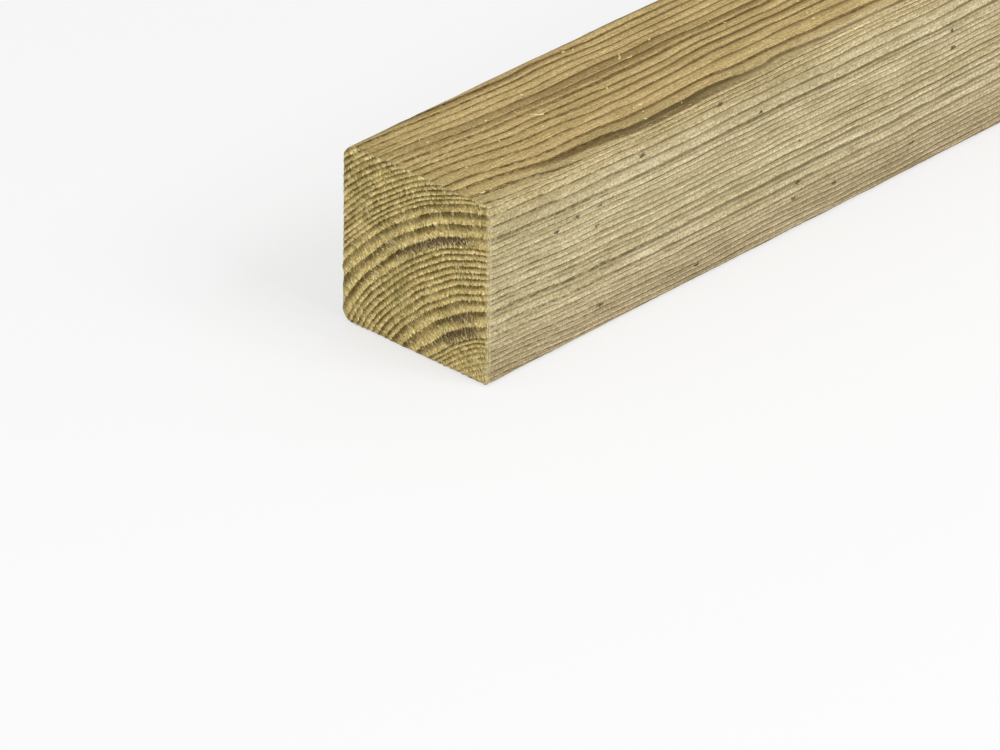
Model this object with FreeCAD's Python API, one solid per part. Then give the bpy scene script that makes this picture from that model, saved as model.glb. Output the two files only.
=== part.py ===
import FreeCAD, Part
import math
import os

# One length of square, pressure-treated softwood post, lying on a side face.
# X runs along the post, Y across it and Z up from the face it lies on.
# Sizes are in millimetres. The origin is at the middle of the resting side.

# Overall sizes
length = 1800.0  # sawn end to sawn end
width = 90.0     # side face to side face, along Y
height = 90.0    # resting face to top face, along Z

# The four long arrises are eased, each by its own amount: the two on the +Y
# side are the more rounded, the two on the -Y side are almost square.
front_bottom_radius = 3.0  # -Y side, at the resting face
back_bottom_radius = 6.0   # +Y side, at the resting face
back_top_radius = 8.0      # +Y side, at the top face
front_top_radius = 4.0     # -Y side, at the top face

# Middle of an arc on the diagonal of its corner, as a share of the radius
DIAGONAL_INSET = 1.0 - math.sqrt(0.5)


def section_point(y, z):
    """A point of the section, in the plane of the -X sawn end."""
    return FreeCAD.Vector(-length / 2.0, y, z)


def corner_arc(corner_y, corner_z, inward_y, inward_z, radius, starts_on_y):
    """The eased arris at one corner, as (start, middle, end) points.

    inward_y and inward_z are +1 or -1 and lead from the corner towards the
    middle of the section. starts_on_y is true where the outline comes in
    along the face that runs in Y and leaves along the one that runs in Z.
    """
    on_y_face = section_point(corner_y + inward_y * radius, corner_z)
    on_z_face = section_point(corner_y, corner_z + inward_z * radius)
    middle = section_point(
        corner_y + inward_y * radius * DIAGONAL_INSET,
        corner_z + inward_z * radius * DIAGONAL_INSET,
    )
    if starts_on_y:
        return on_y_face, middle, on_z_face
    return on_z_face, middle, on_y_face


def post_section():
    """The closed section: four flat faces joined by four eased arrises."""
    side = width / 2.0
    arcs = [
        corner_arc(side, 0.0, -1, 1, back_bottom_radius, True),
        corner_arc(side, height, -1, -1, back_top_radius, False),
        corner_arc(-side, height, 1, -1, front_top_radius, True),
        corner_arc(-side, 0.0, 1, 1, front_bottom_radius, False),
    ]
    edges = []
    for index, (start, middle, end) in enumerate(arcs):
        next_start = arcs[(index + 1) % len(arcs)][0]
        edges.append(Part.Arc(start, middle, end).toShape())
        edges.append(Part.makeLine(end, next_start))
    return Part.Face(Part.Wire(edges))


def make_post():
    """The section drawn out along X to the full length."""
    return post_section().extrude(FreeCAD.Vector(length, 0.0, 0.0))


os.makedirs("parts", exist_ok=True)
make_post().exportStep("parts/support_post.step")
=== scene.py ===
import bisect
import math
import random

import bmesh
import bpy
from bpy.props import FloatProperty, FloatVectorProperty, IntProperty, PointerProperty
from mathutils import Matrix, Vector, noise


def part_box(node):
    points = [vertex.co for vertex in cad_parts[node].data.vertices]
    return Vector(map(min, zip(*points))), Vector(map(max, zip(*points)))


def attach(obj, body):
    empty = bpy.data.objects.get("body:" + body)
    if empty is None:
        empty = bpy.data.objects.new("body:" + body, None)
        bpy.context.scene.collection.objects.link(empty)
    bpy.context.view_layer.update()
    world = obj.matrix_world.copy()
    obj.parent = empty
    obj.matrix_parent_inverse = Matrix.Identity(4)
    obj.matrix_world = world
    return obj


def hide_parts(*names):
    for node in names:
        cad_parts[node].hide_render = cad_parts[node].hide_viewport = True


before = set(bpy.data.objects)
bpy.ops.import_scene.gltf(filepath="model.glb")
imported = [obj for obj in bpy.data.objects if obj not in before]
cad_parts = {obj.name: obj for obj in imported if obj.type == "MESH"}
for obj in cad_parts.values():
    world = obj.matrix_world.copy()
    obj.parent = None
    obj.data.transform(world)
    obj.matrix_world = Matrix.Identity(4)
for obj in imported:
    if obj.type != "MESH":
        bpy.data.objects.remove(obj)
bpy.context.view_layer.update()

bl_info = {
    "name": "Treated timber support post",
    "version": (1, 0, 0),
    "blender": (4, 5, 0),
    "location": "3D View > Sidebar > Timber Post",
    "description": "Builds a square treated softwood post with its growth rings and torn fibres",
    "category": "Add Mesh",
}

NODE = "support_post"
BODY = "root"
MM = 0.001
TOUCHING = 0.01 * MM  # places nearer than this are one place

# The post's own box, from the frame: X along it, Y across it, Z up.
LOW, HIGH = (Vector(corner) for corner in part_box(NODE))
MIDDLE = (LOW + HIGH) / 2

# The arrises, as the frame's solid has them, by corner (side along Y, side along Z).
ARRIS_RADII = {
    (-1, -1): 3.0 * MM,
    (1, -1): 6.0 * MM,
    (1, 1): 8.0 * MM,
    (-1, 1): 4.0 * MM,
}

# How thick each year's ring grew, in millimetres, outwards from the innermost year
# that the section cuts: slow years first, then fast and slow spells by turns.
YEARS = (
    2.5, 2.5, 2.5, 2.5, 2.5, 2.5, 2.5, 2.5, 2.5, 2.5, 2.5, 2.5, 2, 2,
    5.5, 7, 5.5, 3, 4, 3, 2.5, 3, 3, 3, 2.5,
    5.5, 6, 5.5, 4, 2, 2, 2.5, 2, 2.5, 2.5, 2.5, 2, 3, 2.5, 3, 2.5, 3, 3, 3, 3, 3.5, 3, 3.5, 3.5, 3, 3.5,
)
FIRST_YEAR_RADIUS = 36.0  # mm from the pith to the inside of the first of YEARS

# Rings that took the treatment darkest: which year, how far into it the dark begins, the angles
# round the pith and the distances from the low X end in mm between which it shows, and how dark.
STAINS = (
    (25, 0.14, 107, 132, -200, 40, 1.0),
    (15, 0.20, 113, 127, -200, 40, 0.9),
    (14, 0.04, 114, 136, -200, 40, 1.0),
    (16, 0.40, 115, 126, -200, 40, 0.35),
    (31, 0.38, 96, 118, 34, 165, 1.0),
    (32, 0.00, 96, 112, 60, 130, 0.25),
    (38, 0.30, 112, 132, 5, 300, 0.7),
    (39, 0.10, 112, 131, 25, 190, 0.6),
    (43, 0.30, 116, 136, 30, 120, 0.6),
    (35, 0.40, 104, 128, 150, 420, 0.5),
    (28, 0.30, 90, 110, 560, 900, 0.7),
    (36, 0.20, 100, 130, 640, 1050, 0.7),
    (33, 0.40, 100, 130, 1200, 1500, 0.7),
)


# --------------------------------------------------------------------------------------
# Settings
# --------------------------------------------------------------------------------------


class PostSettings(bpy.types.PropertyGroup):
    """Where the section was cut from the log, and how rough its faces are."""

    cells: IntProperty(name="Cells Across", description="Mesh cells across each face", default=88, min=8)
    pith_y: FloatProperty(
        name="Pith Y", description="The log's pith, across the post", default=-0.0662, unit="LENGTH"
    )
    pith_z: FloatProperty(
        name="Pith Z",
        description="The log's pith, above the resting face",
        default=-0.0401,
        unit="LENGTH",
    )
    skin: FloatProperty(
        name="Skin",
        description="How far the wood lies inside the nominal size",
        default=0.00045,
        unit="LENGTH",
    )
    ridge: FloatProperty(
        name="Grain Ridge",
        description="How far latewood stands above earlywood",
        default=0.00022,
        unit="LENGTH",
    )
    splinters: IntProperty(
        name="Splinters", description="Loose splinters on the top face", default=240, min=0
    )
    whiskers: IntProperty(
        name="Whiskers", description="Raised fibres along the arrises", default=1200, min=0
    )
    end_whiskers: IntProperty(
        name="End Whiskers",
        description="Torn fibres on the low X end, with half as many on the other",
        default=2000,
        min=0,
    )
    seed: IntProperty(name="Seed", description="Which set of fibres is drawn", default=7)
    sway: FloatProperty(
        name="Face Sway", description="Slow hollows along the long faces", default=0.0003, unit="LENGTH"
    )


class TimberSettings(bpy.types.PropertyGroup):
    """The colours of the timber, as they look on a screen."""

    # The side colours are lighter and paler than the top's: partly the wood's own tone, partly painted
    # light.
    side_early: FloatVectorProperty(
        name="Side Earlywood",
        description="Pale wood of the side faces",
        subtype="COLOR_GAMMA",
        default=(0.785, 0.727, 0.58),
    )
    side_late: FloatVectorProperty(
        name="Side Latewood",
        description="Grain lines of the side faces",
        subtype="COLOR_GAMMA",
        default=(0.38, 0.335, 0.20),
    )
    top_early: FloatVectorProperty(
        name="Top Earlywood",
        description="Pale wood of the top and bottom",
        subtype="COLOR_GAMMA",
        default=(0.78, 0.682, 0.472),
    )
    top_late: FloatVectorProperty(
        name="Top Latewood",
        description="Grain lines of the top and bottom",
        subtype="COLOR_GAMMA",
        default=(0.345, 0.258, 0.10),
    )
    end_early: FloatVectorProperty(
        name="End Earlywood",
        description="Pale wood of the sawn ends",
        subtype="COLOR_GAMMA",
        default=(0.83, 0.745, 0.495),
    )
    end_late: FloatVectorProperty(
        name="End Latewood",
        description="Ring lines of the sawn ends",
        subtype="COLOR_GAMMA",
        default=(0.305, 0.23, 0.055),
    )
    preservative: FloatVectorProperty(
        name="Preservative",
        description="Green left by the treatment",
        subtype="COLOR_GAMMA",
        default=(0.56, 0.53, 0.31),
    )
    heart: FloatVectorProperty(
        name="Dark Bands",
        description="Rings that took the treatment darkest",
        subtype="COLOR_GAMMA",
        default=(0.35, 0.29, 0.215),
    )
    # Painted shade, not a colour of the wood: it darkens the sides near the resting face.
    painted_low_shade: FloatVectorProperty(
        name="Low Painted Shade",
        description="What darkens the sides near the resting face",
        subtype="COLOR_GAMMA",
        default=(0.94, 0.925, 0.935),
    )
    # Also the colour of the painted highlights on the torn fibre ends of the sawn ends.
    fibre: FloatVectorProperty(
        name="Fibres",
        description="Torn and raised fibres",
        subtype="COLOR_GAMMA",
        default=(0.90, 0.84, 0.66),
    )


class StageSettings(bpy.types.PropertyGroup):
    """The camera, the lamps and the floor."""

    azimuth: FloatProperty(
        name="Azimuth",
        description="Camera's turn about the post",
        default=math.radians(-47.36),
        subtype="ANGLE",
    )
    elevation: FloatProperty(
        name="Elevation",
        description="Camera's height angle",
        default=math.radians(29.15),
        subtype="ANGLE",
    )
    roll: FloatProperty(
        name="Roll", description="Camera's tilt", default=math.radians(-0.85), subtype="ANGLE"
    )
    distance: FloatProperty(
        name="Distance", description="Camera to the point it aims at", default=3.517, unit="LENGTH"
    )
    lens: FloatProperty(
        name="Lens", description="Focal length on a 36 mm sensor", default=288.0, unit="CAMERA"
    )
    aim_along: FloatProperty(
        name="Aim Along", description="Aim point, from the low X end", default=0.0074, unit="LENGTH"
    )
    aim_up: FloatProperty(
        name="Aim Up", description="Aim point, above the floor", default=0.0038, unit="LENGTH"
    )
    key: FloatProperty(name="Key Lamp", description="Power of the main lamp", default=46.0, unit="POWER")
    fill: FloatProperty(
        name="Fill Lamp", description="Power of the lamp at the sawn end", default=24.0, unit="POWER"
    )
    sky: FloatProperty(name="Sky", description="Strength of the light from all round", default=0.62)


def linear(colour):
    """A screen colour as the linear colour that a shader takes, with alpha."""
    return tuple(c / 12.92 if c <= 0.04045 else ((c + 0.055) / 1.055) ** 2.4 for c in colour) + (1.0,)


# --------------------------------------------------------------------------------------
# How the tree grew: the field that shapes the relief and the colours alike
# --------------------------------------------------------------------------------------


def ramp01(value, low, high):
    """0 below low, 1 above high and smooth between."""
    t = min(max((value - low) / (high - low), 0.0), 1.0)
    return t * t * (3 - 2 * t)


def wave(x, y, z, seed):
    """Smooth noise from about -1 to 1, with a seed that moves it elsewhere."""
    return noise.noise(Vector((x + 17.3 * seed, y - 9.1 * seed, z + 5.7 * seed)))


class Growth:
    """The rings of the log round its pith, which wanders along the post."""

    def __init__(self, settings):
        self.pith_y = settings.pith_y
        self.pith_z = settings.pith_z
        self.edges = [FIRST_YEAR_RADIUS]
        for width in YEARS:
            self.edges.append(self.edges[-1] + width)

    def polar(self, point):
        """The distance from the pith in mm and the angle round it in degrees."""
        across = (self.pith_y - point.y) / MM
        up = (point.z - self.pith_z) / MM
        return math.hypot(across, up), math.degrees(math.atan2(up, across))

    def drift(self, point, angle):
        """How far in mm the rings have wandered out at this place."""
        along = (point.x - LOW.x) / MM
        swing = 5.5 * (1 - math.exp(-along / 90)) + 3.0 * wave(along / 330, angle / 200, 0, 1)
        swing += 1.5 * wave(along / 80, angle / 40, 0, 2) + 0.7 * wave(along / 32, angle / 14, 0, 3)
        swing += 0.22 * wave(along / 13, angle / 6, 0, 5)
        return swing - 4.5 * ramp01(angle, 134, 160)

    def age(self, point):
        """The years from the first ring's inside, as a smooth number whose whole part is the ring."""
        radius, angle = self.polar(point)
        radius += self.drift(point, angle)
        radius += 0.5 * wave(radius / 9, angle / 9, point.x / 0.05, 4)
        ring = min(max(bisect.bisect_right(self.edges, radius) - 1, 0), len(YEARS) - 1)
        return ring + (radius - self.edges[ring]) / YEARS[ring]

    def stain(self, point, age):
        """How dark the treatment left this place: broad bands in a few rings, that fade all round."""
        _, angle = self.polar(point)
        along = (point.x - LOW.x) / MM
        reach = 0.0
        for ring, inside, first_angle, last_angle, first_x, last_x, depth in STAINS:
            phase = age - ring
            if not 0 <= phase <= 1.02:
                continue
            across = ramp01(phase, inside - 0.08, inside + 0.12) * (1 - ramp01(phase, 0.98, 1.02))
            round_it = ramp01(angle, first_angle - 3, first_angle + 3)
            round_it *= 1 - ramp01(angle, last_angle - 8, last_angle + 2)
            fade = (last_x - first_x) / 4
            lengthwise = ramp01(along, first_x - fade, first_x + fade)
            lengthwise *= 1 - ramp01(along, last_x - fade, last_x + fade)
            reach = max(reach, depth * across * round_it * lengthwise)
        return reach

    @staticmethod
    def ridge(age):
        """0 in the soft earlywood, rising to 1 in the latewood at the ring's outside."""
        phase = age - math.floor(age)
        return ramp01(phase, 0.35, 0.88) * (1 - ramp01(phase, 0.93, 1.0))


# --------------------------------------------------------------------------------------
# The post's mesh
# --------------------------------------------------------------------------------------


def section_point(across, up):
    """A place on the section, from two numbers between -1 and 1, with the arrises eased."""
    half = (HIGH - LOW) / 2
    y, z = across * half.y, up * half.z
    corner = (1 if across > 0 else -1, 1 if up > 0 else -1)
    radius = ARRIS_RADII[corner]
    past_y = abs(y) - (half.y - radius)
    past_z = abs(z) - (half.z - radius)
    if past_y > 0 and past_z > 0:
        pull = max(past_y, past_z) / math.hypot(past_y, past_z)
        y = corner[0] * (half.y - radius + past_y * pull)
        z = corner[1] * (half.z - radius + past_z * pull)
    return y, z + half.z


def outward(point):
    """The section's outward direction at a place on its outline."""
    half = (HIGH - LOW) / 2
    corner = (1 if point.y > 0 else -1, 1 if point.z > MIDDLE.z else -1)
    radius = ARRIS_RADII[corner]
    past_y = abs(point.y) - (half.y - radius)
    past_z = abs(point.z - MIDDLE.z) - (half.z - radius)
    if past_y > 0 and past_z > 0:
        return Vector((0, corner[0] * past_y, corner[1] * past_z)).normalized()
    if past_y / radius > past_z / radius:
        return Vector((0, corner[0], 0))
    return Vector((0, 0, corner[1]))


CLOSE_LENGTH = 0.40  # how far from the low X end the stations stay close together
CLOSE_STEP = 4.6 * MM
WIDE_STEP = 16 * MM
FIRST_STEP = 1.2 * MM
STEP_GROWTH = 1.045  # how much longer each step is than the one before


def stations():
    """The distances along the post, close together near the low X end and wide beyond."""
    places = [0.0, 0.5 * MM, 1.3 * MM]
    step = FIRST_STEP
    length = HIGH.x - LOW.x
    while places[-1] < length - 12 * MM:
        places.append(places[-1] + step)
        step = min(step * STEP_GROWTH, CLOSE_STEP if places[-1] < CLOSE_LENGTH else WIDE_STEP)
    places = [place for place in places if place < length - 6 * MM]
    return places + [length - 5 * MM, length - 2 * MM, length - 0.6 * MM, length]


def end_grid(bm, cells, x):
    """A square grid over one sawn end, its outline eased to the section's."""
    for vert in bmesh.ops.create_grid(bm, x_segments=cells, y_segments=cells, size=1.0)["verts"]:
        y, z = section_point(vert.co.x, vert.co.y)
        vert.co = Vector((x, y, z))


def draw_out(bm, edges, places):
    """Extrudes the end's outline from station to station."""
    for before, here in zip(places, places[1:]):
        made = bmesh.ops.extrude_edge_only(bm, edges=edges)["geom"]
        edges = [item for item in made if isinstance(item, bmesh.types.BMEdge)]
        verts = [item for item in made if isinstance(item, bmesh.types.BMVert)]
        bmesh.ops.translate(bm, verts=verts, vec=(here - before, 0, 0))


def build_post_mesh(settings):
    """One closed solid: a gridded end drawn out along X and closed by a second grid."""
    bm = bmesh.new()
    end_grid(bm, settings.cells, LOW.x)
    outline = [edge for edge in bm.edges if edge.is_boundary]
    draw_out(bm, outline, stations())
    end_grid(bm, settings.cells, HIGH.x)
    bmesh.ops.remove_doubles(bm, verts=[v for v in bm.verts if v.is_boundary], dist=TOUCHING)
    bmesh.ops.recalc_face_normals(bm, faces=bm.faces)
    for face in bm.faces:
        face.smooth = True
        face.material_index = 1 if abs(face.normal.x) > 0.7 else 0
    for edge in bm.edges:
        kinds = {face.material_index for face in edge.link_faces}
        edge.smooth = len(kinds) == 1
    return bm


def relief_in(point, growth, age, settings):
    """How far in from the nominal face the wood lies on a long face or arris."""
    out = outward(point)
    along = (point.x - LOW.x) / MM
    around = math.degrees(math.atan2(point.z - MIDDLE.z, point.y))
    on_arris = 2 * abs(out.y * out.z)
    depth = settings.skin
    depth += settings.sway * (0.5 + 0.5 * wave(along / 140, around / 30, 0, 11))
    depth -= settings.ridge * (growth.ridge(age) - 0.5) * (1 - 0.6 * on_arris)
    depth += 0.06 * MM * wave(along / 3.1, point.y / (1.5 * MM), point.z / (1.5 * MM), 12)
    depth += 0.05 * MM * wave(along / 11, point.y / (1.2 * MM), point.z / (1.2 * MM), 13)
    depth += on_arris * 0.35 * MM * (0.5 + wave(along / 24, around / 50, 0, 14))
    chip = ramp01(wave(along / 11, around / 40, 0, 15), 0.45, 0.95)
    return max(depth + on_arris * 0.35 * MM * chip, 0.02 * MM), out


def end_in(point, growth, age, edge_gap):
    """How far in from the nominal end the sawn wood lies."""
    y, z = point.y / MM, point.z / MM
    radius, angle = growth.polar(point)
    round_ring = math.radians(angle) * radius
    depth = 0.55 * MM - 0.34 * MM * growth.ridge(age)
    depth += 0.13 * MM * wave(round_ring / 1.1, radius / 2.8, 0, 21)
    depth += 0.07 * MM * wave(y / 0.9, z / 0.9, 0, 22)
    depth += 0.22 * MM * wave(y / 30, z / 30, 0, 23)
    depth += 0.8 * MM * (1 - ramp01(edge_gap, 0, 2.2 * MM)) ** 2 * (0.6 + 0.8 * wave(y / 7, z / 7, 0, 24))
    return max(depth, 0.02 * MM)


def outline_gap(point):
    """How far a place on an end lies inside the section's outline."""
    half = (HIGH - LOW) / 2
    corner = (1 if point.y > 0 else -1, 1 if point.z > MIDDLE.z else -1)
    radius = ARRIS_RADII[corner]
    past_y = abs(point.y) - (half.y - radius)
    past_z = abs(point.z - MIDDLE.z) - (half.z - radius)
    if past_y > 0 and past_z > 0:
        return radius - math.hypot(past_y, past_z)
    return radius - max(past_y, past_z)


EDGE_WEAR = 2.4 * MM  # how far from a sawn end its edge is worn
EDGE_WEAR_DEPTH = 0.45 * MM


def shape_post(bm, growth, settings):
    """Gives every vertex its ring number, stain and face kind, then its relief."""
    age_layer = bm.verts.layers.float.new("ring_age")
    stain_layer = bm.verts.layers.float.new("stain")
    flat_layer = bm.verts.layers.float.new("flat")
    wear_layer = bm.verts.layers.float.new("wear")
    moves = []
    for vert in bm.verts:
        point = vert.co.copy()
        gap = outline_gap(point)
        age = growth.age(point)
        vert[age_layer] = age
        vert[stain_layer] = growth.stain(point, age)
        move = Vector((0, 0, 0))
        out = outward(point)
        vert[flat_layer] = out.z * out.z
        on_side = gap < TOUCHING
        if on_side:
            depth, out = relief_in(point, growth, age, settings)
            move -= out * depth
            vert[wear_layer] = 2 * abs(out.y * out.z)
        for end_x, inward in ((LOW.x, 1), (HIGH.x, -1)):
            from_end = abs(point.x - end_x)
            if from_end < TOUCHING:
                move.x = inward * end_in(point, growth, age, gap)
                vert[wear_layer] = max(vert[wear_layer], 1 - ramp01(gap, 0, 2.0 * MM))
            elif on_side and from_end < EDGE_WEAR:
                close = 1 - from_end / EDGE_WEAR
                uneven = 0.7 + wave(point.y / (6 * MM), point.z / (6 * MM), 0, 25)
                move -= out * EDGE_WEAR_DEPTH * close * close * uneven
        moves.append(move)
    for vert, move in zip(bm.verts, moves):
        vert.co += move
    keep_inside(bm)


def keep_inside(bm):
    """Nothing stands past the post's nominal size."""
    for vert in bm.verts:
        for axis in range(3):
            vert.co[axis] = min(max(vert.co[axis], LOW[axis]), HIGH[axis])


BAKE_LONG = 0.72  # the share of the bake map's height that the four long faces take
BAKE_END = 0.26  # the side of the square that each sawn end takes
BAKE_NEAR_SHARE = 0.5  # the share of the map's width for the first, closest stretch
BAKE_NEAR_LENGTH = 0.45


def outline_place(point):
    """How far round the section a place is, from 0 to 1, and 0 at the low Y, low Z corner."""
    half = (HIGH - LOW) / 2
    y, z = point.y / half.y, (point.z - MIDDLE.z) / half.z
    if abs(z) >= abs(y):
        turn = (y + 1) / 2 if z < 0 else 2 + (1 - y) / 2
    else:
        turn = 1 + (z + 1) / 2 if y > 0 else 3 + (1 - z) / 2
    return turn / 4


def lay_bake_map(bm):
    """A map in which the long faces are strips side by side and the ends are squares above them."""
    layer = bm.loops.layers.uv.new("OFBake")
    length = HIGH.x - LOW.x
    half = (HIGH - LOW) / 2
    for face in bm.faces:
        centre = face.calc_center_median()
        if face.material_index == 1:
            shift = 0.005 if centre.x < 0 else 0.015 + BAKE_END
            for loop in face.loops:
                y, z = loop.vert.co.y / half.y, (loop.vert.co.z - MIDDLE.z) / half.z
                u, v = (y + 1) / 2 * BAKE_END, (z + 1) / 2 * BAKE_END
                loop[layer].uv = (shift + u, BAKE_LONG + 0.01 + v)
            continue
        middle = outline_place(centre)
        for loop in face.loops:
            place = outline_place(loop.vert.co)
            if place - middle > 0.5:
                place -= 1
            elif middle - place > 0.5:
                place += 1
            along = loop.vert.co.x - LOW.x
            if along < BAKE_NEAR_LENGTH:
                u = along / BAKE_NEAR_LENGTH * BAKE_NEAR_SHARE
            else:
                beyond = (along - BAKE_NEAR_LENGTH) / (length - BAKE_NEAR_LENGTH)
                u = BAKE_NEAR_SHARE + beyond * (1 - BAKE_NEAR_SHARE)
            loop[layer].uv = (0.003 + 0.994 * u, 0.003 + place * (BAKE_LONG - 0.01))


# --------------------------------------------------------------------------------------
# Materials
# --------------------------------------------------------------------------------------


# How far in metres the tone of one face reaches onto the next.
WARM_REACH = 0.026
PALE_REACH = 0.017
BRIGHT_REACH = 0.016
# How far up from the resting face the painted shade on the sides reaches.
LOW_SHADE_REACH = 0.034

PIT_COLOUR = (0.065, 0.055, 0.03, 1)
LONG_GRAIN_RELIEF = 0.35 * MM
END_GRAIN_RELIEF = 0.34 * MM
FIBRE_TWIST = 1.6  # how many radians the torn fibres turn for each metre out from the pith
USUAL_RADIUS = 0.11  # turns an angle round the pith into a length


class Graph:
    """A short way to place and join shader nodes in a material or a group."""

    def __init__(self, tree):
        self.tree = tree
        self.count = 0

    def add(self, kind, **settings):
        node = self.tree.nodes.new(kind)
        node.location = (220 * (self.count // 6), -190 * (self.count % 6))
        self.count += 1
        for name, value in settings.items():
            setattr(node, name, value)
        return node

    def feed(self, socket, value):
        if isinstance(value, bpy.types.NodeSocket):
            self.tree.links.new(value, socket)
        else:
            socket.default_value = value

    def maths(self, operation, *values, clamp=False):
        node = self.add("ShaderNodeMath", operation=operation, use_clamp=clamp)
        for socket, value in zip(node.inputs, values):
            self.feed(socket, value)
        return node.outputs[0]

    def plus(self, first, second):
        return self.maths("ADD", first, second)

    def minus(self, first, second):
        return self.maths("SUBTRACT", first, second)

    def times(self, first, second):
        return self.maths("MULTIPLY", first, second)

    def weighted(self, *terms):
        """The sum of values, each times its weight."""
        total = self.times(*terms[0])
        for value, weight in terms[1:]:
            total = self.plus(total, self.times(value, weight))
        return total

    def power(self, base, exponent):
        return self.maths("POWER", base, exponent)

    def larger(self, first, second):
        return self.maths("MAXIMUM", first, second)

    def span(self, value, low, high, to_low=0.0, to_high=1.0):
        """The value carried smoothly from one range to another, and held at its ends."""
        node = self.add("ShaderNodeMapRange", interpolation_type="SMOOTHSTEP")
        names = ("Value", "From Min", "From Max", "To Min", "To Max")
        for name, given in zip(names, (value, low, high, to_low, to_high)):
            self.feed(node.inputs[name], given)
        return node.outputs["Result"]

    def mix(self, factor, first, second, blend="MIX"):
        node = self.add("ShaderNodeMix", data_type="RGBA", blend_type=blend)
        self.feed(node.inputs[0], factor)
        self.feed(node.inputs[6], first)
        self.feed(node.inputs[7], second)
        return node.outputs[2]

    def shade(self, colour, value, low, high, darkest, lightest):
        """The colour made darker or lighter by a value. What darkens goes a little browner."""
        amount = self.span(value, low, high, darkest, lightest)
        warm = self.joined(amount, self.power(amount, 1.12), self.power(amount, 1.45))
        return self.mix(1.0, colour, warm, "MULTIPLY")

    def turned(self, vector, degrees):
        node = self.add("ShaderNodeVectorRotate", rotation_type="Z_AXIS")
        self.feed(node.inputs["Vector"], vector)
        node.inputs["Angle"].default_value = math.radians(degrees)
        return node.outputs[0]

    def noise(self, vector, scale, detail, rough):
        node = self.add("ShaderNodeTexNoise", noise_dimensions="3D")
        self.feed(node.inputs["Vector"], vector)
        node.inputs["Scale"].default_value = scale
        node.inputs["Detail"].default_value = detail
        node.inputs["Roughness"].default_value = rough
        return node.outputs["Fac"]

    def cells(self, vector, scale):
        node = self.add("ShaderNodeTexVoronoi", feature="F1")
        self.feed(node.inputs["Vector"], vector)
        node.inputs["Scale"].default_value = scale
        return node.outputs["Distance"], node.outputs["Color"]

    def stretched(self, vector, scale):
        node = self.add("ShaderNodeVectorMath", operation="MULTIPLY")
        self.feed(node.inputs[0], vector)
        node.inputs[1].default_value = scale
        return node.outputs[0]

    def parts(self, vector):
        node = self.add("ShaderNodeSeparateXYZ")
        self.feed(node.inputs[0], vector)
        return node.outputs

    def joined(self, x, y, z):
        node = self.add("ShaderNodeCombineXYZ")
        for socket, value in zip(node.inputs, (x, y, z)):
            self.feed(socket, value)
        return node.outputs[0]

    def attribute(self, name):
        return self.add("ShaderNodeAttribute", attribute_name=name).outputs["Fac"]

    def place(self):
        return self.add("ShaderNodeTexCoord").outputs["Object"]

    def group(self, tree, **values):
        node = self.add("ShaderNodeGroup")
        node.node_tree = tree
        for name, value in values.items():
            self.feed(node.inputs[name.replace("_", " ")], value)
        return node.outputs


def new_group(name, takes, gives):
    """An empty shader group with named sockets. Each is (name, kind, default)."""
    tree = bpy.data.node_groups.new(name, "ShaderNodeTree")
    for label, kind, default in takes:
        socket = tree.interface.new_socket(label, in_out="INPUT", socket_type=kind)
        if default is not None:
            socket.default_value = default
    for label, kind in gives:
        tree.interface.new_socket(label, in_out="OUTPUT", socket_type=kind)
    graph = Graph(tree)
    return tree, graph, graph.add("NodeGroupInput").outputs, graph.add("NodeGroupOutput").inputs


def growth_rings_group():
    """Draws the latewood lines from the ring number."""
    tree, graph, takes, gives = new_group(
        "growth_rings",
        (
            ("Age", "NodeSocketFloat", 0.0),
            ("Ragged", "NodeSocketFloat", 0.0),
            ("Width", "NodeSocketFloat", 0.4),
            ("Shoulder", "NodeSocketFloat", 0.42),
        ),
        (("Latewood", "NodeSocketFloat"), ("Phase", "NodeSocketFloat"), ("Year", "NodeSocketFloat")),
    )
    age = graph.plus(takes["Age"], takes["Ragged"])
    phase = graph.maths("FRACT", age)
    year = graph.add("ShaderNodeTexWhiteNoise", noise_dimensions="1D")
    graph.feed(year.inputs["W"], graph.maths("FLOOR", age))
    spread = graph.span(year.outputs["Value"], 0.0, 1.0, 0.75, 1.25)
    width = graph.times(takes["Width"], spread)
    shoulder = graph.span(phase, graph.minus(0.80, width), 0.92, 0.0, takes["Shoulder"])
    core_start = graph.minus(0.95, graph.times(width, 0.62))
    core = graph.span(phase, core_start, graph.plus(core_start, 0.11))
    fall = graph.span(phase, 0.955, 1.0, 1.0, 0.0)
    graph.feed(gives["Latewood"], graph.times(graph.larger(shoulder, core), fall))
    graph.feed(gives["Phase"], phase)
    graph.feed(gives["Year"], year.outputs["Value"])
    return tree


def preservative_group():
    """Slow patches of green and of weather, at the same scale on every face."""
    tree, graph, takes, gives = new_group(
        "preservative_patches",
        (("Place", "NodeSocketVector", None), ("Amount", "NodeSocketFloat", 0.5)),
        (("Green", "NodeSocketFloat"), ("Tone", "NodeSocketFloat")),
    )
    slow = graph.noise(graph.stretched(takes["Place"], (9.0, 34.0, 34.0)), 1.0, 3.0, 0.55)
    tone = graph.noise(graph.stretched(takes["Place"], (14.0, 60.0, 60.0)), 1.0, 2.0, 0.5)
    graph.feed(gives["Green"], graph.times(graph.span(slow, 0.46, 0.68), takes["Amount"]))
    graph.feed(gives["Tone"], tone)
    return tree


def timber_material(name):
    """A material with a Principled shader, as (material, graph, shader)."""
    material = bpy.data.materials.new(name)
    material.use_nodes = True
    material.node_tree.nodes.clear()
    graph = Graph(material.node_tree)
    shader = graph.add("ShaderNodeBsdfPrincipled")
    shader.inputs["Specular IOR Level"].default_value = 0.08
    output = graph.add("ShaderNodeOutputMaterial")
    graph.feed(output.inputs["Surface"], shader.outputs[0])
    return material, graph, shader


def raise_surface(graph, shader, height, distance, strength):
    """Fine relief, as a bump that stands the given distance high."""
    bump = graph.add("ShaderNodeBump")
    bump.inputs["Strength"].default_value = strength
    bump.inputs["Distance"].default_value = distance
    graph.feed(bump.inputs["Height"], height)
    graph.feed(shader.inputs["Normal"], bump.outputs[0])


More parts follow.
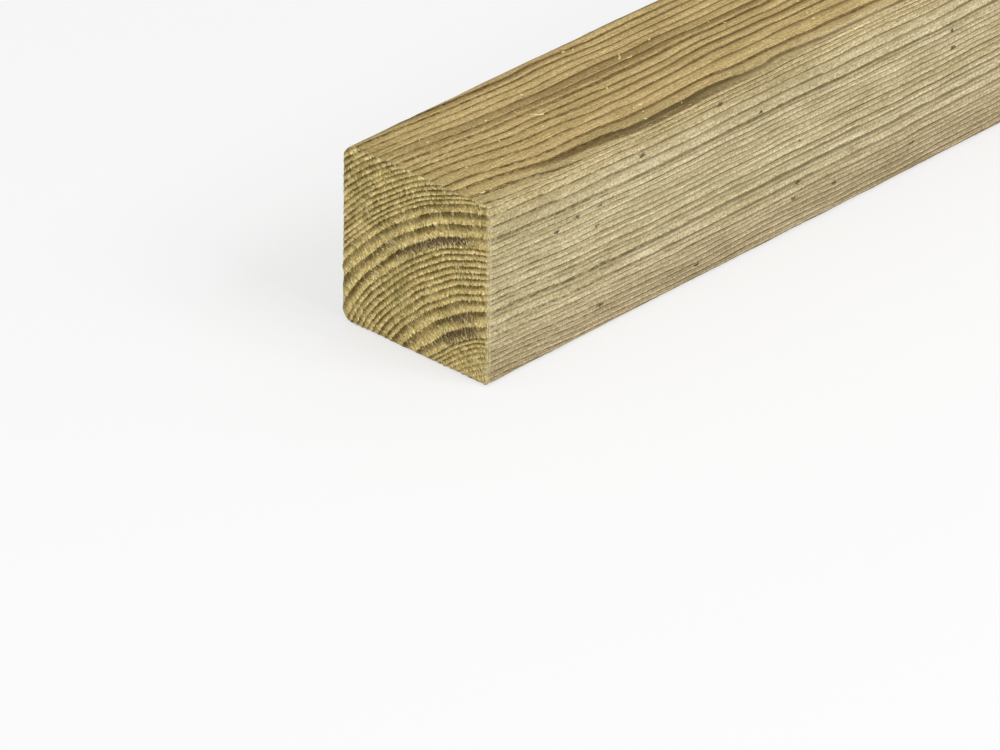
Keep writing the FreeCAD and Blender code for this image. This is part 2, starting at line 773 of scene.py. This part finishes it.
def long_grain_material(colours, rings, patches):
    """The four long faces: lines drawn out along the post, darker and warmer on top, lighter and paler on
    the sides, which is partly painted light.
    """
    material, graph, shader = timber_material("timber_long_grain")
    place = graph.place()
    along, across, up = graph.parts(place)
    flat = graph.attribute("flat")
    # The sides warm towards the top face.
    flat = graph.larger(flat, graph.span(up, HIGH.z - WARM_REACH, HIGH.z, 0.0, 0.32))
    # The top face pales towards the front arris.
    flat = graph.maths("SUBTRACT", flat, graph.span(across, LOW.y, LOW.y + PALE_REACH, 0.6, 0.0), clamp=True)
    flat = graph.larger(flat, graph.span(up, HIGH.z - BRIGHT_REACH, HIGH.z, 0.0, 0.38))
    wear = graph.attribute("wear")

    fibre = graph.noise(graph.stretched(place, (42.0, 900.0, 900.0)), 1.0, 3.0, 0.6)
    strand = graph.noise(graph.stretched(place, (9.0, 420.0, 420.0)), 1.0, 2.0, 0.5)
    grit = graph.noise(graph.stretched(place, (0.7, 1.0, 1.0)), 1100.0, 2.0, 0.6)
    ragged = graph.times(graph.minus(fibre, 0.5), 0.26)
    ragged = graph.plus(ragged, graph.times(graph.minus(grit, 0.5), 0.16))
    drawn = graph.group(
        rings,
        Age=graph.attribute("ring_age"),
        Ragged=ragged,
        Width=graph.span(flat, 0.3, 0.9, 0.36, 0.50),
        Shoulder=graph.span(flat, 0.3, 0.9, 0.22, 0.44),
    )
    late, phase, year = drawn["Latewood"], drawn["Phase"], drawn["Year"]
    green = graph.group(patches, Place=place, Amount=0.14)

    # Each line fades and comes back along the post, and on the sides pale nap breaks it up.
    nap = graph.noise(graph.stretched(graph.turned(place, 35.0), (330.0, 1500.0, 1500.0)), 1.0, 2.0, 0.55)
    held = graph.span(strand, 0.30, 0.60, 0.78, 1.0)
    line = graph.times(late, graph.times(held, graph.span(year, 0.0, 1.0, 0.86, 1.0)))
    line = graph.times(line, graph.span(grit, 0.40, 0.58, 0.6, 1.0))

    # Near the sawn ends the lines break up into short ticks.
    soaked = graph.maths("MINIMUM", graph.minus(along, LOW.x), graph.minus(HIGH.x, along))
    tick = graph.noise(graph.stretched(place, (330.0, 800.0, 800.0)), 1.0, 2.0, 0.6)
    broken = graph.span(tick, 0.40, 0.56, 0.65, -0.1)
    broken = graph.times(graph.span(soaked, 0.03, 0.15, 1.0, 0.25), broken)
    line = graph.times(line, graph.minus(1.0, broken))
    # On the sides many years show a second, fainter line.
    second = graph.times(graph.span(phase, 0.36, 0.46), graph.span(phase, 0.48, 0.56, 1.0, 0.0))
    second = graph.times(second, graph.span(year, 0.30, 0.45, 0.0, 0.62))
    second = graph.times(second, graph.span(flat, 0.2, 0.8, 1.0, 0.2))
    line = graph.larger(line, graph.times(second, held))

    # Sides and top take their own colours. The sides' lighter tone is partly painted light.
    early = graph.mix(flat, linear(colours.side_early), linear(colours.top_early))
    dark = graph.mix(flat, linear(colours.side_late), linear(colours.top_late))
    early = graph.mix(green["Green"], early, linear(colours.preservative))
    # The treatment soaked in from the sawn ends.
    early = graph.mix(graph.span(soaked, 0.0, 0.075, 0.22, 0.0), early, linear(colours.preservative))
    # Earlywood darkens slowly towards the line at its outside.
    early = graph.mix(graph.times(graph.span(phase, 0.1, 0.9), 0.16), early, dark)
    wood = graph.mix(line, early, dark)
    stain = graph.times(graph.attribute("stain"), graph.span(fibre, 0.35, 0.60, 0.45, 0.85))
    wood = graph.mix(stain, wood, dark)

    # Fine fibres, light and dark, and the slow change of tone.
    wood = graph.shade(wood, fibre, 0.32, 0.68, 0.78, 1.12)
    wood = graph.shade(wood, green["Tone"], 0.35, 0.65, 0.91, 1.05)
    wood = graph.shade(wood, grit, 0.32, 0.68, 0.74, 1.18)
    wood = graph.shade(wood, nap, 0.42, 0.68, 0.97, 1.11)
    # Painted shade: the sides turn darker, and a little pinker, towards the resting face.
    low = graph.span(up, LOW.z, LOW.z + LOW_SHADE_REACH, 1.0, 0.0)
    low = graph.times(low, graph.span(flat, 0.0, 0.6, 1.0, 0.0))
    wood = graph.mix(low, wood, linear(colours.painted_low_shade), "MULTIPLY")

    # Resin pits: small dark ovals that sit in the lines.
    gap, cell = graph.cells(graph.stretched(place, (75.0, 150.0, 150.0)), 1.0)
    chosen = graph.span(graph.parts(cell)[0], 0.72, 0.75)
    gap = graph.plus(gap, graph.times(graph.minus(grit, 0.5), 0.25))
    pit = graph.times(graph.span(gap, 0.07, 0.20, 1.0, 0.0), chosen)
    pit = graph.times(pit, graph.span(flat, 0.2, 0.8, 1.0, 0.25))
    wood = graph.mix(graph.times(pit, 0.85), wood, PIT_COLOUR)

    # Broken fibres lie along the arrises and here and there on the faces.
    fray = graph.noise(graph.stretched(place, (150.0, 1400.0, 1400.0)), 1.0, 3.0, 0.65)
    frayed = graph.span(fray, 0.62, 0.74, 0.0, 0.75)
    frayed = graph.times(frayed, graph.span(wear, 0.0, 1.0, 0.22, 1.0))
    # The saw left a pale burr on the sides too.
    burr = graph.span(soaked, 0.6 * MM, 2.8 * MM, 0.5, 0.0)
    burr = graph.times(burr, graph.span(flat, 0.1, 0.5, 1.0, 0.0))
    burr = graph.times(burr, graph.span(tick, 0.38, 0.58, 0.2, 1.0))
    frayed = graph.larger(frayed, burr)
    wood = graph.mix(frayed, wood, linear(colours.fibre))

    graph.feed(shader.inputs["Base Color"], wood)
    graph.feed(shader.inputs["Roughness"], graph.span(line, 0.0, 1.0, 0.86, 0.68))
    height = graph.weighted((line, 0.45), (fibre, 0.55), (grit, 0.30), (pit, -0.8), (frayed, 0.6))
    raise_surface(graph, shader, height, LONG_GRAIN_RELIEF, 0.85)
    return material


def end_grain_material(settings, colours, rings, patches):
    """The sawn ends: ring arcs, torn across by fibres that lean out from the pith, with painted highlights
    on the torn fibre ends.
    """
    material, graph, shader = timber_material("timber_end_grain")
    place = graph.place()
    x, y, z = graph.parts(place)
    across = graph.minus(settings.pith_y, y)
    up = graph.minus(z, settings.pith_z)
    squares = graph.plus(graph.power(across, 2.0), graph.power(up, 2.0))
    radius = graph.maths("SQRT", squares)
    angle = graph.maths("ARCTAN2", up, across)
    leaning = graph.plus(angle, graph.times(radius, FIBRE_TWIST))
    round_ring = graph.times(leaning, USUAL_RADIUS)
    # The fibres lean a little this way and that.
    lean = graph.noise(graph.stretched(place, (0.0, 260.0, 260.0)), 1.0, 2.0, 0.6)
    shift = graph.times(graph.minus(lean, 0.5), 0.006)
    round_ring = graph.plus(round_ring, shift)
    polar = graph.joined(round_ring, radius, x)

    whisker = graph.noise(graph.stretched(polar, (1150.0, 210.0, 0.0)), 1.0, 3.0, 0.6)
    torn = graph.noise(graph.stretched(polar, (930.0, 330.0, 0.0)), 1.0, 3.0, 0.65)
    grit = graph.noise(place, 1300.0, 2.0, 0.6)
    ragged = graph.times(graph.minus(whisker, 0.5), 0.34)
    ragged = graph.plus(ragged, graph.times(graph.minus(torn, 0.5), 0.20))
    drawn = graph.group(rings, Age=graph.attribute("ring_age"), Ragged=ragged, Width=0.46)
    late, phase = drawn["Latewood"], drawn["Phase"]
    green = graph.group(patches, Place=graph.stretched(place, (1.0, 1.3, 1.3)), Amount=0.45)

    early = graph.mix(green["Green"], linear(colours.end_early), linear(colours.preservative))
    dark = linear(colours.end_late)
    early = graph.mix(graph.times(graph.span(phase, 0.05, 0.9), 0.30), early, dark)
    soft = graph.span(phase, 0.26, 0.80, 0.0, 0.85)
    soft = graph.times(soft, graph.span(phase, 0.90, 1.0, 1.0, 0.0))
    line = graph.larger(graph.times(late, 0.92), soft)
    line = graph.times(line, graph.span(torn, 0.32, 0.6, 0.66, 1.0))
    # The innermost rings are hard to make out among the torn fibres.
    line = graph.times(line, graph.span(radius, 0.055, 0.068, 0.15, 1.0))
    # Patches where the saw smeared the lines.
    smear = graph.noise(graph.stretched(place, (0.0, 75.0, 75.0)), 1.0, 2.0, 0.5)
    line = graph.times(line, graph.span(smear, 0.38, 0.56, 0.55, 1.0))
    wood = graph.mix(line, early, dark)
    stain = graph.times(graph.attribute("stain"), graph.span(whisker, 0.44, 0.64, 1.0, 0.35))
    wood = graph.mix(stain, wood, linear(colours.heart))
    wood = graph.shade(wood, torn, 0.36, 0.64, 0.70, 1.20)
    wood = graph.shade(wood, whisker, 0.36, 0.62, 0.70, 1.24)
    wood = graph.shade(wood, grit, 0.34, 0.66, 0.70, 1.22)

    # Painted highlight: pale strokes and dots where torn fibre ends would catch the light.
    highlight_stroke = graph.span(whisker, 0.55, 0.68, 0.0, 0.55)
    highlight_stroke = graph.times(highlight_stroke, graph.span(lean, 0.35, 0.6, 0.25, 1.0))
    gap, cell = graph.cells(graph.stretched(place, (0.0, 520.0, 520.0)), 1.0)
    chosen = graph.span(graph.parts(cell)[0], 0.93, 0.96)
    highlight_dot = graph.times(graph.span(gap, 0.15, 0.45, 1.0, 0.0), chosen)
    # This mask joins the painted highlights with the pale burr and the worn outline.
    highlight_and_wear = graph.larger(highlight_stroke, graph.times(highlight_dot, 0.5))
    # The saw left a pale burr along the front arris.
    burr = graph.span(y, LOW.y + 1.0 * MM, LOW.y + 4.0 * MM, 0.7, 0.0)
    burr = graph.times(burr, graph.span(torn, 0.38, 0.58, 0.25, 1.0))
    highlight_and_wear = graph.larger(highlight_and_wear, burr)
    worn = graph.times(graph.attribute("wear"), graph.span(torn, 0.40, 0.60, 0.0, 0.8))
    highlight_and_wear = graph.larger(highlight_and_wear, worn)
    wood = graph.mix(highlight_and_wear, wood, linear(colours.fibre))

    graph.feed(shader.inputs["Base Color"], wood)
    graph.feed(shader.inputs["Roughness"], graph.span(line, 0.0, 1.0, 0.92, 0.8))
    height = graph.weighted((line, -0.35), (whisker, 0.9), (torn, 0.8), (highlight_and_wear, 0.35), (grit, 0.3))
    raise_surface(graph, shader, height, END_GRAIN_RELIEF, 0.9)
    return material


def fibre_material(colours):
    """Loose cream fibres, mottled a little."""
    material, graph, shader = timber_material("timber_fibre")
    mottle = graph.noise(graph.place(), 500.0, 1.0, 0.5)
    tone = graph.mix(graph.span(mottle, 0.35, 0.65), linear(colours.end_early), linear(colours.fibre))
    graph.feed(shader.inputs["Base Color"], tone)
    shader.inputs["Roughness"].default_value = 0.85
    return material


def show(name, bm, *materials):
    """Turns a bmesh into an object at the origin, with its materials, riding on the post."""
    mesh = bpy.data.meshes.new(name)
    bm.to_mesh(mesh)
    bm.free()
    piece = bpy.data.objects.new(name, mesh)
    bpy.context.scene.collection.objects.link(piece)
    for material in materials:
        mesh.materials.append(material)
    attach(piece, BODY)
    return piece


# --------------------------------------------------------------------------------------
# Raised and torn fibres
# --------------------------------------------------------------------------------------

# Splinters that stand out on the top face: distance from the low X end, Y, length, thickness,
# turn on the face in degrees and how far it curls in degrees. Lengths are in mm.
SPLINTERS = (
    (144, 11.5, 6.0, 1.1, 12, 60),
    (148, 9.8, 4.0, 0.9, -20, 50),
    (77, 3.5, 6.5, 0.8, -58, 20),
    (80, 0.2, 2.2, 1.0, -20, 15),
    (117, -25, 3.4, 1.0, -12, 30),
    (113, -25.5, 2.0, 0.8, 25, 20),
    (119, -4.5, 2.4, 1.0, 35, 20),
    (6, 3.5, 8.0, 0.5, 3, 8),
    (13, 2.8, 5.0, 0.5, -4, 8),
    (143, 22, 6.0, 0.45, -6, 15),
    (168, 15, 2.0, 1.1, 10, 15),
    (171, 31.5, 2.0, 1.1, 40, 15),
    (136, 32.5, 2.0, 1.1, 15, 15),
    (58, 13, 1.8, 0.9, 5, 12),
    (140, -14.5, 2.2, 0.8, 50, 20),
    (238, -19, 3.5, 1.1, 30, 40),
    (7, -32, 3.0, 0.8, -15, 15),
    (12, -33, 2.4, 0.7, 20, 15),
)


SPLINTER_SPAN = (-0.040, 0.036)  # the stretch of Y on the top face that small splinters lie in

# The arrises that carry raised fibres. The front top one carries twice as many.
HAIRY_ARRISES = ((-1, 1), (-1, 1), (1, 1), (-1, -1))


def add_splinter(bm, root, along, away, length, thick, curl):
    """A thin tapered sliver that curls in the plane of the face it lies on."""
    steps = 5
    across = away.cross(along).normalized()
    half = thick / 2
    corners = [root + across * half, root - across * half, root + away * half]
    ring = [bm.verts.new(corner) for corner in corners]
    face = bm.faces.new(ring)
    turn = math.radians(curl)
    bend = length / turn
    centre = root + across * bend
    bmesh.ops.spin(bm, geom=[face], cent=centre, axis=away, angle=turn, steps=steps)
    bm.verts.ensure_lookup_table()
    sliver = bm.verts[-3 * (steps + 1):]
    for step in range(steps + 1):
        three = sliver[3 * step: 3 * step + 3]
        middle = sum((vert.co for vert in three), Vector()) / 3
        taper = max(0.15, math.sin(math.pi * (step + 0.6) / (steps + 1.2)))
        for vert in three:
            vert.co = middle + (vert.co - middle) * taper


def add_whisker(bm, root, direction, length, thick):
    """A straight fibre with three sides that comes to a point."""
    turn = direction.to_track_quat("Z", "X").to_matrix().to_4x4()
    place = Matrix.Translation(root + direction * length / 2) @ turn
    bmesh.ops.create_cone(
        bm,
        cap_ends=True,
        cap_tris=True,
        segments=3,
        radius1=thick / 2,
        radius2=thick / 9,
        depth=length,
        matrix=place,
    )


def build_face_fibres(settings, rng):
    """Splinters on the top face, and short raised fibres along the arrises."""
    bm = bmesh.new()
    up = Vector((0, 0, 1))
    lift = HIGH.z - settings.skin - 0.12 * MM
    for place_x, place_y, length, thick, turn, curl in SPLINTERS:
        direction = Vector((math.cos(math.radians(turn)), math.sin(math.radians(turn)), 0))
        root = Vector((LOW.x + place_x * MM, place_y * MM, lift))
        add_splinter(bm, root, direction, up, length * MM, thick * MM, curl)
    length_all = HIGH.x - LOW.x
    for _ in range(settings.splinters):
        direction = Matrix.Rotation(rng.gauss(0, 0.5), 3, up) @ Vector((1, 0, 0))
        root = Vector((LOW.x + rng.uniform(0.01, 0.99) * length_all, rng.uniform(*SPLINTER_SPAN), lift))
        length, thick, curl = rng.uniform(0.9, 2.6), rng.uniform(0.35, 0.75), rng.uniform(5, 35)
        add_splinter(bm, root, direction, up, length * MM, thick * MM, curl)
    for _ in range(settings.whiskers):
        side, height = rng.choice(HAIRY_ARRISES)
        away = Vector((0, side, height))
        radius = ARRIS_RADII[(side, height)]
        centre = Vector((0, side * (HIGH.y - radius), MIDDLE.z + height * (MIDDLE.z - radius)))
        lean = Matrix.Rotation(rng.uniform(-0.8, 0.8), 3, "X") @ away.normalized()
        centre.x = LOW.x + rng.random() * length_all
        direction = Vector((rng.choice((-1, 1)), 0, 0))
        direction += Vector((0, -lean.z, lean.y)) * rng.gauss(0, 0.35) + lean * 0.12
        root = centre + lean * (radius - settings.skin - 0.15 * MM)
        length, thick = rng.uniform(1.2, 3.2), rng.uniform(0.12, 0.24)
        add_whisker(bm, root, direction.normalized(), length * MM, thick * MM)
    keep_inside(bm)
    bmesh.ops.recalc_face_normals(bm, faces=bm.faces)
    return bm


def build_end_fibres(settings, rng):
    """Fibres that the saw tore up on both ends, leaning out from the pith."""
    bm = bmesh.new()
    near, far = settings.end_whiskers, settings.end_whiskers // 2
    for end_x, outward_x, count in ((LOW.x, -1, near), (HIGH.x, 1, far)):
        for _ in range(count):
            y, z = section_point(rng.uniform(-0.985, 0.985), rng.uniform(-0.985, 0.985))
            root = Vector((end_x - outward_x * 0.75 * MM, y, z))
            radial = Vector((0, y - settings.pith_y, z - settings.pith_z)).normalized()
            radial = Matrix.Rotation(rng.gauss(-0.1, 0.4), 3, "X") @ radial
            direction = radial * rng.choice((1, 1, 1, -1))
            direction += Vector((outward_x * rng.uniform(0.04, 0.28), 0, 0))
            length, thick = rng.uniform(1.2, 3.4), rng.uniform(0.16, 0.32)
            add_whisker(bm, root, direction.normalized(), length * MM, thick * MM)
    keep_inside(bm)
    bmesh.ops.recalc_face_normals(bm, faces=bm.faces)
    return bm


# --------------------------------------------------------------------------------------
# Operators
# --------------------------------------------------------------------------------------


class TIMBER_OT_post(bpy.types.Operator):
    """Build the post: one closed mesh with its rings, relief and two materials"""

    bl_idname = "timber.post"
    bl_label = "Timber Post"

    def execute(self, context):
        settings = context.scene.timber_post
        colours = context.scene.timber_colours
        growth = Growth(settings)
        bm = build_post_mesh(settings)
        shape_post(bm, growth, settings)
        lay_bake_map(bm)
        rings = growth_rings_group()
        patches = preservative_group()
        piece = show(
            "timber_post",
            bm,
            long_grain_material(colours, rings, patches),
            end_grain_material(settings, colours, rings, patches),
        )
        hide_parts(NODE)
        return {"FINISHED"}


class TIMBER_OT_fibres(bpy.types.Operator):
    """Add the splinters and the raised fibres of the faces, and the torn fibres of the sawn ends"""

    bl_idname = "timber.fibres"
    bl_label = "Fibres"

    def execute(self, context):
        settings = context.scene.timber_post
        rng = random.Random(settings.seed)
        fibre = fibre_material(context.scene.timber_colours)
        show("face_fibres", build_face_fibres(settings, rng), fibre)
        show("end_fibres", build_end_fibres(settings, rng), fibre)
        return {"FINISHED"}


class TIMBER_OT_stage(bpy.types.Operator):
    """Set the floor, the soft lamps, the sky and the camera"""

    bl_idname = "timber.stage"
    bl_label = "Stage"

    def execute(self, context):
        settings = context.scene.timber_stage
        lay_floor()
        hang_lamp("key_lamp", KEY_LAMP_PLACE, KEY_LAMP_SIZE, settings.key)
        hang_lamp("fill_lamp", FILL_LAMP_PLACE, FILL_LAMP_SIZE, settings.fill)
        light_sky(settings.sky)
        place_camera(settings)
        context.scene.view_settings.view_transform = "Standard"
        return {"FINISHED"}


FLOOR_SIZE = 14.0
FLOOR_GLOW = 0.62  # the share of plain white that the camera sees in the floor
LAMP_AIM = 0.2  # how far from the low X end the lamps face the post
KEY_LAMP_PLACE = (0.35, -2.1, 2.0)  # from the place that the lamps face
KEY_LAMP_SIZE = 1.6
FILL_LAMP_PLACE = (-2.6, -0.7, 1.1)
FILL_LAMP_SIZE = 1.4


def lay_floor():
    """A plain pale floor that keeps the post's shadow."""
    bm = bmesh.new()
    bmesh.ops.create_grid(bm, x_segments=1, y_segments=1, size=FLOOR_SIZE / 2)
    mesh = bpy.data.meshes.new("floor")
    bm.to_mesh(mesh)
    bm.free()
    floor = bpy.data.objects.new("floor", mesh)
    bpy.context.scene.collection.objects.link(floor)
    material, graph, shader = timber_material("floor_white")
    shader.inputs["Base Color"].default_value = (0.82, 0.82, 0.82, 1)
    shader.inputs["Roughness"].default_value = 0.9
    glow = graph.add("ShaderNodeEmission")
    glow.inputs["Color"].default_value = (1, 1, 1, 1)
    glow.inputs["Strength"].default_value = 1.0
    seen = graph.add("ShaderNodeLightPath").outputs["Is Camera Ray"]
    blend = graph.add("ShaderNodeMixShader")
    graph.feed(blend.inputs[0], graph.times(seen, FLOOR_GLOW))
    graph.feed(blend.inputs[1], shader.outputs[0])
    graph.feed(blend.inputs[2], glow.outputs[0])
    output = next(node for node in material.node_tree.nodes if node.type == "OUTPUT_MATERIAL")
    graph.feed(output.inputs["Surface"], blend.outputs[0])
    mesh.materials.append(material)


def hang_lamp(name, place, size, power):
    """A square soft lamp that faces the post near its low X end."""
    light = bpy.data.lights.new(name, "AREA")
    light.shape = "SQUARE"
    light.size = size
    light.energy = power
    lamp = bpy.data.objects.new(name, light)
    bpy.context.scene.collection.objects.link(lamp)
    target = Vector((LOW.x + LAMP_AIM, MIDDLE.y, MIDDLE.z))
    lamp.location = target + Vector(place)
    lamp.rotation_euler = (target - lamp.location).to_track_quat("-Z", "Y").to_euler()


def light_sky(strength):
    """Even light from all round. The camera sees it as plain white."""
    world = bpy.data.worlds.new("sky")
    bpy.context.scene.world = world
    world.use_nodes = True
    world.node_tree.nodes.clear()
    graph = Graph(world.node_tree)
    sky = graph.add("ShaderNodeBackground")
    sky.inputs["Color"].default_value = (1, 1, 1, 1)
    sky.inputs["Strength"].default_value = strength
    white = graph.add("ShaderNodeBackground")
    white.inputs["Color"].default_value = (1, 1, 1, 1)
    white.inputs["Strength"].default_value = 1.0
    blend = graph.add("ShaderNodeMixShader")
    graph.feed(blend.inputs[0], graph.add("ShaderNodeLightPath").outputs["Is Camera Ray"])
    graph.feed(blend.inputs[1], sky.outputs[0])
    graph.feed(blend.inputs[2], white.outputs[0])
    output = graph.add("ShaderNodeOutputWorld")
    graph.feed(output.inputs["Surface"], blend.outputs[0])


def place_camera(settings):
    """Aims low on the front face near the low X end, with that end and the top face in view."""
    a, e, roll = settings.azimuth, settings.elevation, settings.roll
    back = Vector((math.sin(a) * math.cos(e), -math.cos(a) * math.cos(e), math.sin(e)))
    right = Vector((math.cos(a), math.sin(a), 0))
    down = right.cross(back)
    level, upright = right, down
    right = math.cos(roll) * level + math.sin(roll) * upright
    down = math.cos(roll) * upright - math.sin(roll) * level
    camera_data = bpy.data.cameras.new("camera")
    camera_data.sensor_width = 36.0
    camera_data.lens = settings.lens
    camera_data.clip_end = 50.0
    camera = bpy.data.objects.new("camera", camera_data)
    bpy.context.scene.collection.objects.link(camera)
    aim = Vector((LOW.x + settings.aim_along, LOW.y, LOW.z + settings.aim_up))
    turned = Matrix((right, -down, back)).transposed().to_4x4()
    camera.matrix_world = Matrix.Translation(aim + back * settings.distance) @ turned
    bpy.context.scene.camera = camera


class TIMBER_PT_panel(bpy.types.Panel):
    """Lists the settings and the operators that build the post"""

    bl_idname = "TIMBER_PT_panel"
    bl_label = "Timber Post"
    bl_space_type = "VIEW_3D"
    bl_region_type = "UI"
    bl_category = "Timber Post"

    def draw(self, context):
        for group, operators in (
            (context.scene.timber_post, (TIMBER_OT_post, TIMBER_OT_fibres)),
            (context.scene.timber_colours, ()),
            (context.scene.timber_stage, (TIMBER_OT_stage,)),
        ):
            box = self.layout.box()
            for name in group.bl_rna.properties.keys():
                if name not in ("rna_type", "name"):
                    box.prop(group, name)
            for operator in operators:
                box.operator(operator.bl_idname)


CLASSES = (
    PostSettings,
    TimberSettings,
    StageSettings,
    TIMBER_OT_post,
    TIMBER_OT_fibres,
    TIMBER_OT_stage,
    TIMBER_PT_panel,
)


def register():
    for cls in CLASSES:
        bpy.utils.register_class(cls)
    bpy.types.Scene.timber_post = PointerProperty(type=PostSettings)
    bpy.types.Scene.timber_colours = PointerProperty(type=TimberSettings)
    bpy.types.Scene.timber_stage = PointerProperty(type=StageSettings)


def unregister():
    del bpy.types.Scene.timber_stage
    del bpy.types.Scene.timber_colours
    del bpy.types.Scene.timber_post
    for cls in reversed(CLASSES):
        bpy.utils.unregister_class(cls)


def main():
    register()
    bpy.ops.timber.post()
    bpy.ops.timber.fibres()
    bpy.ops.timber.stage()


if __name__ == "__main__":
    main()
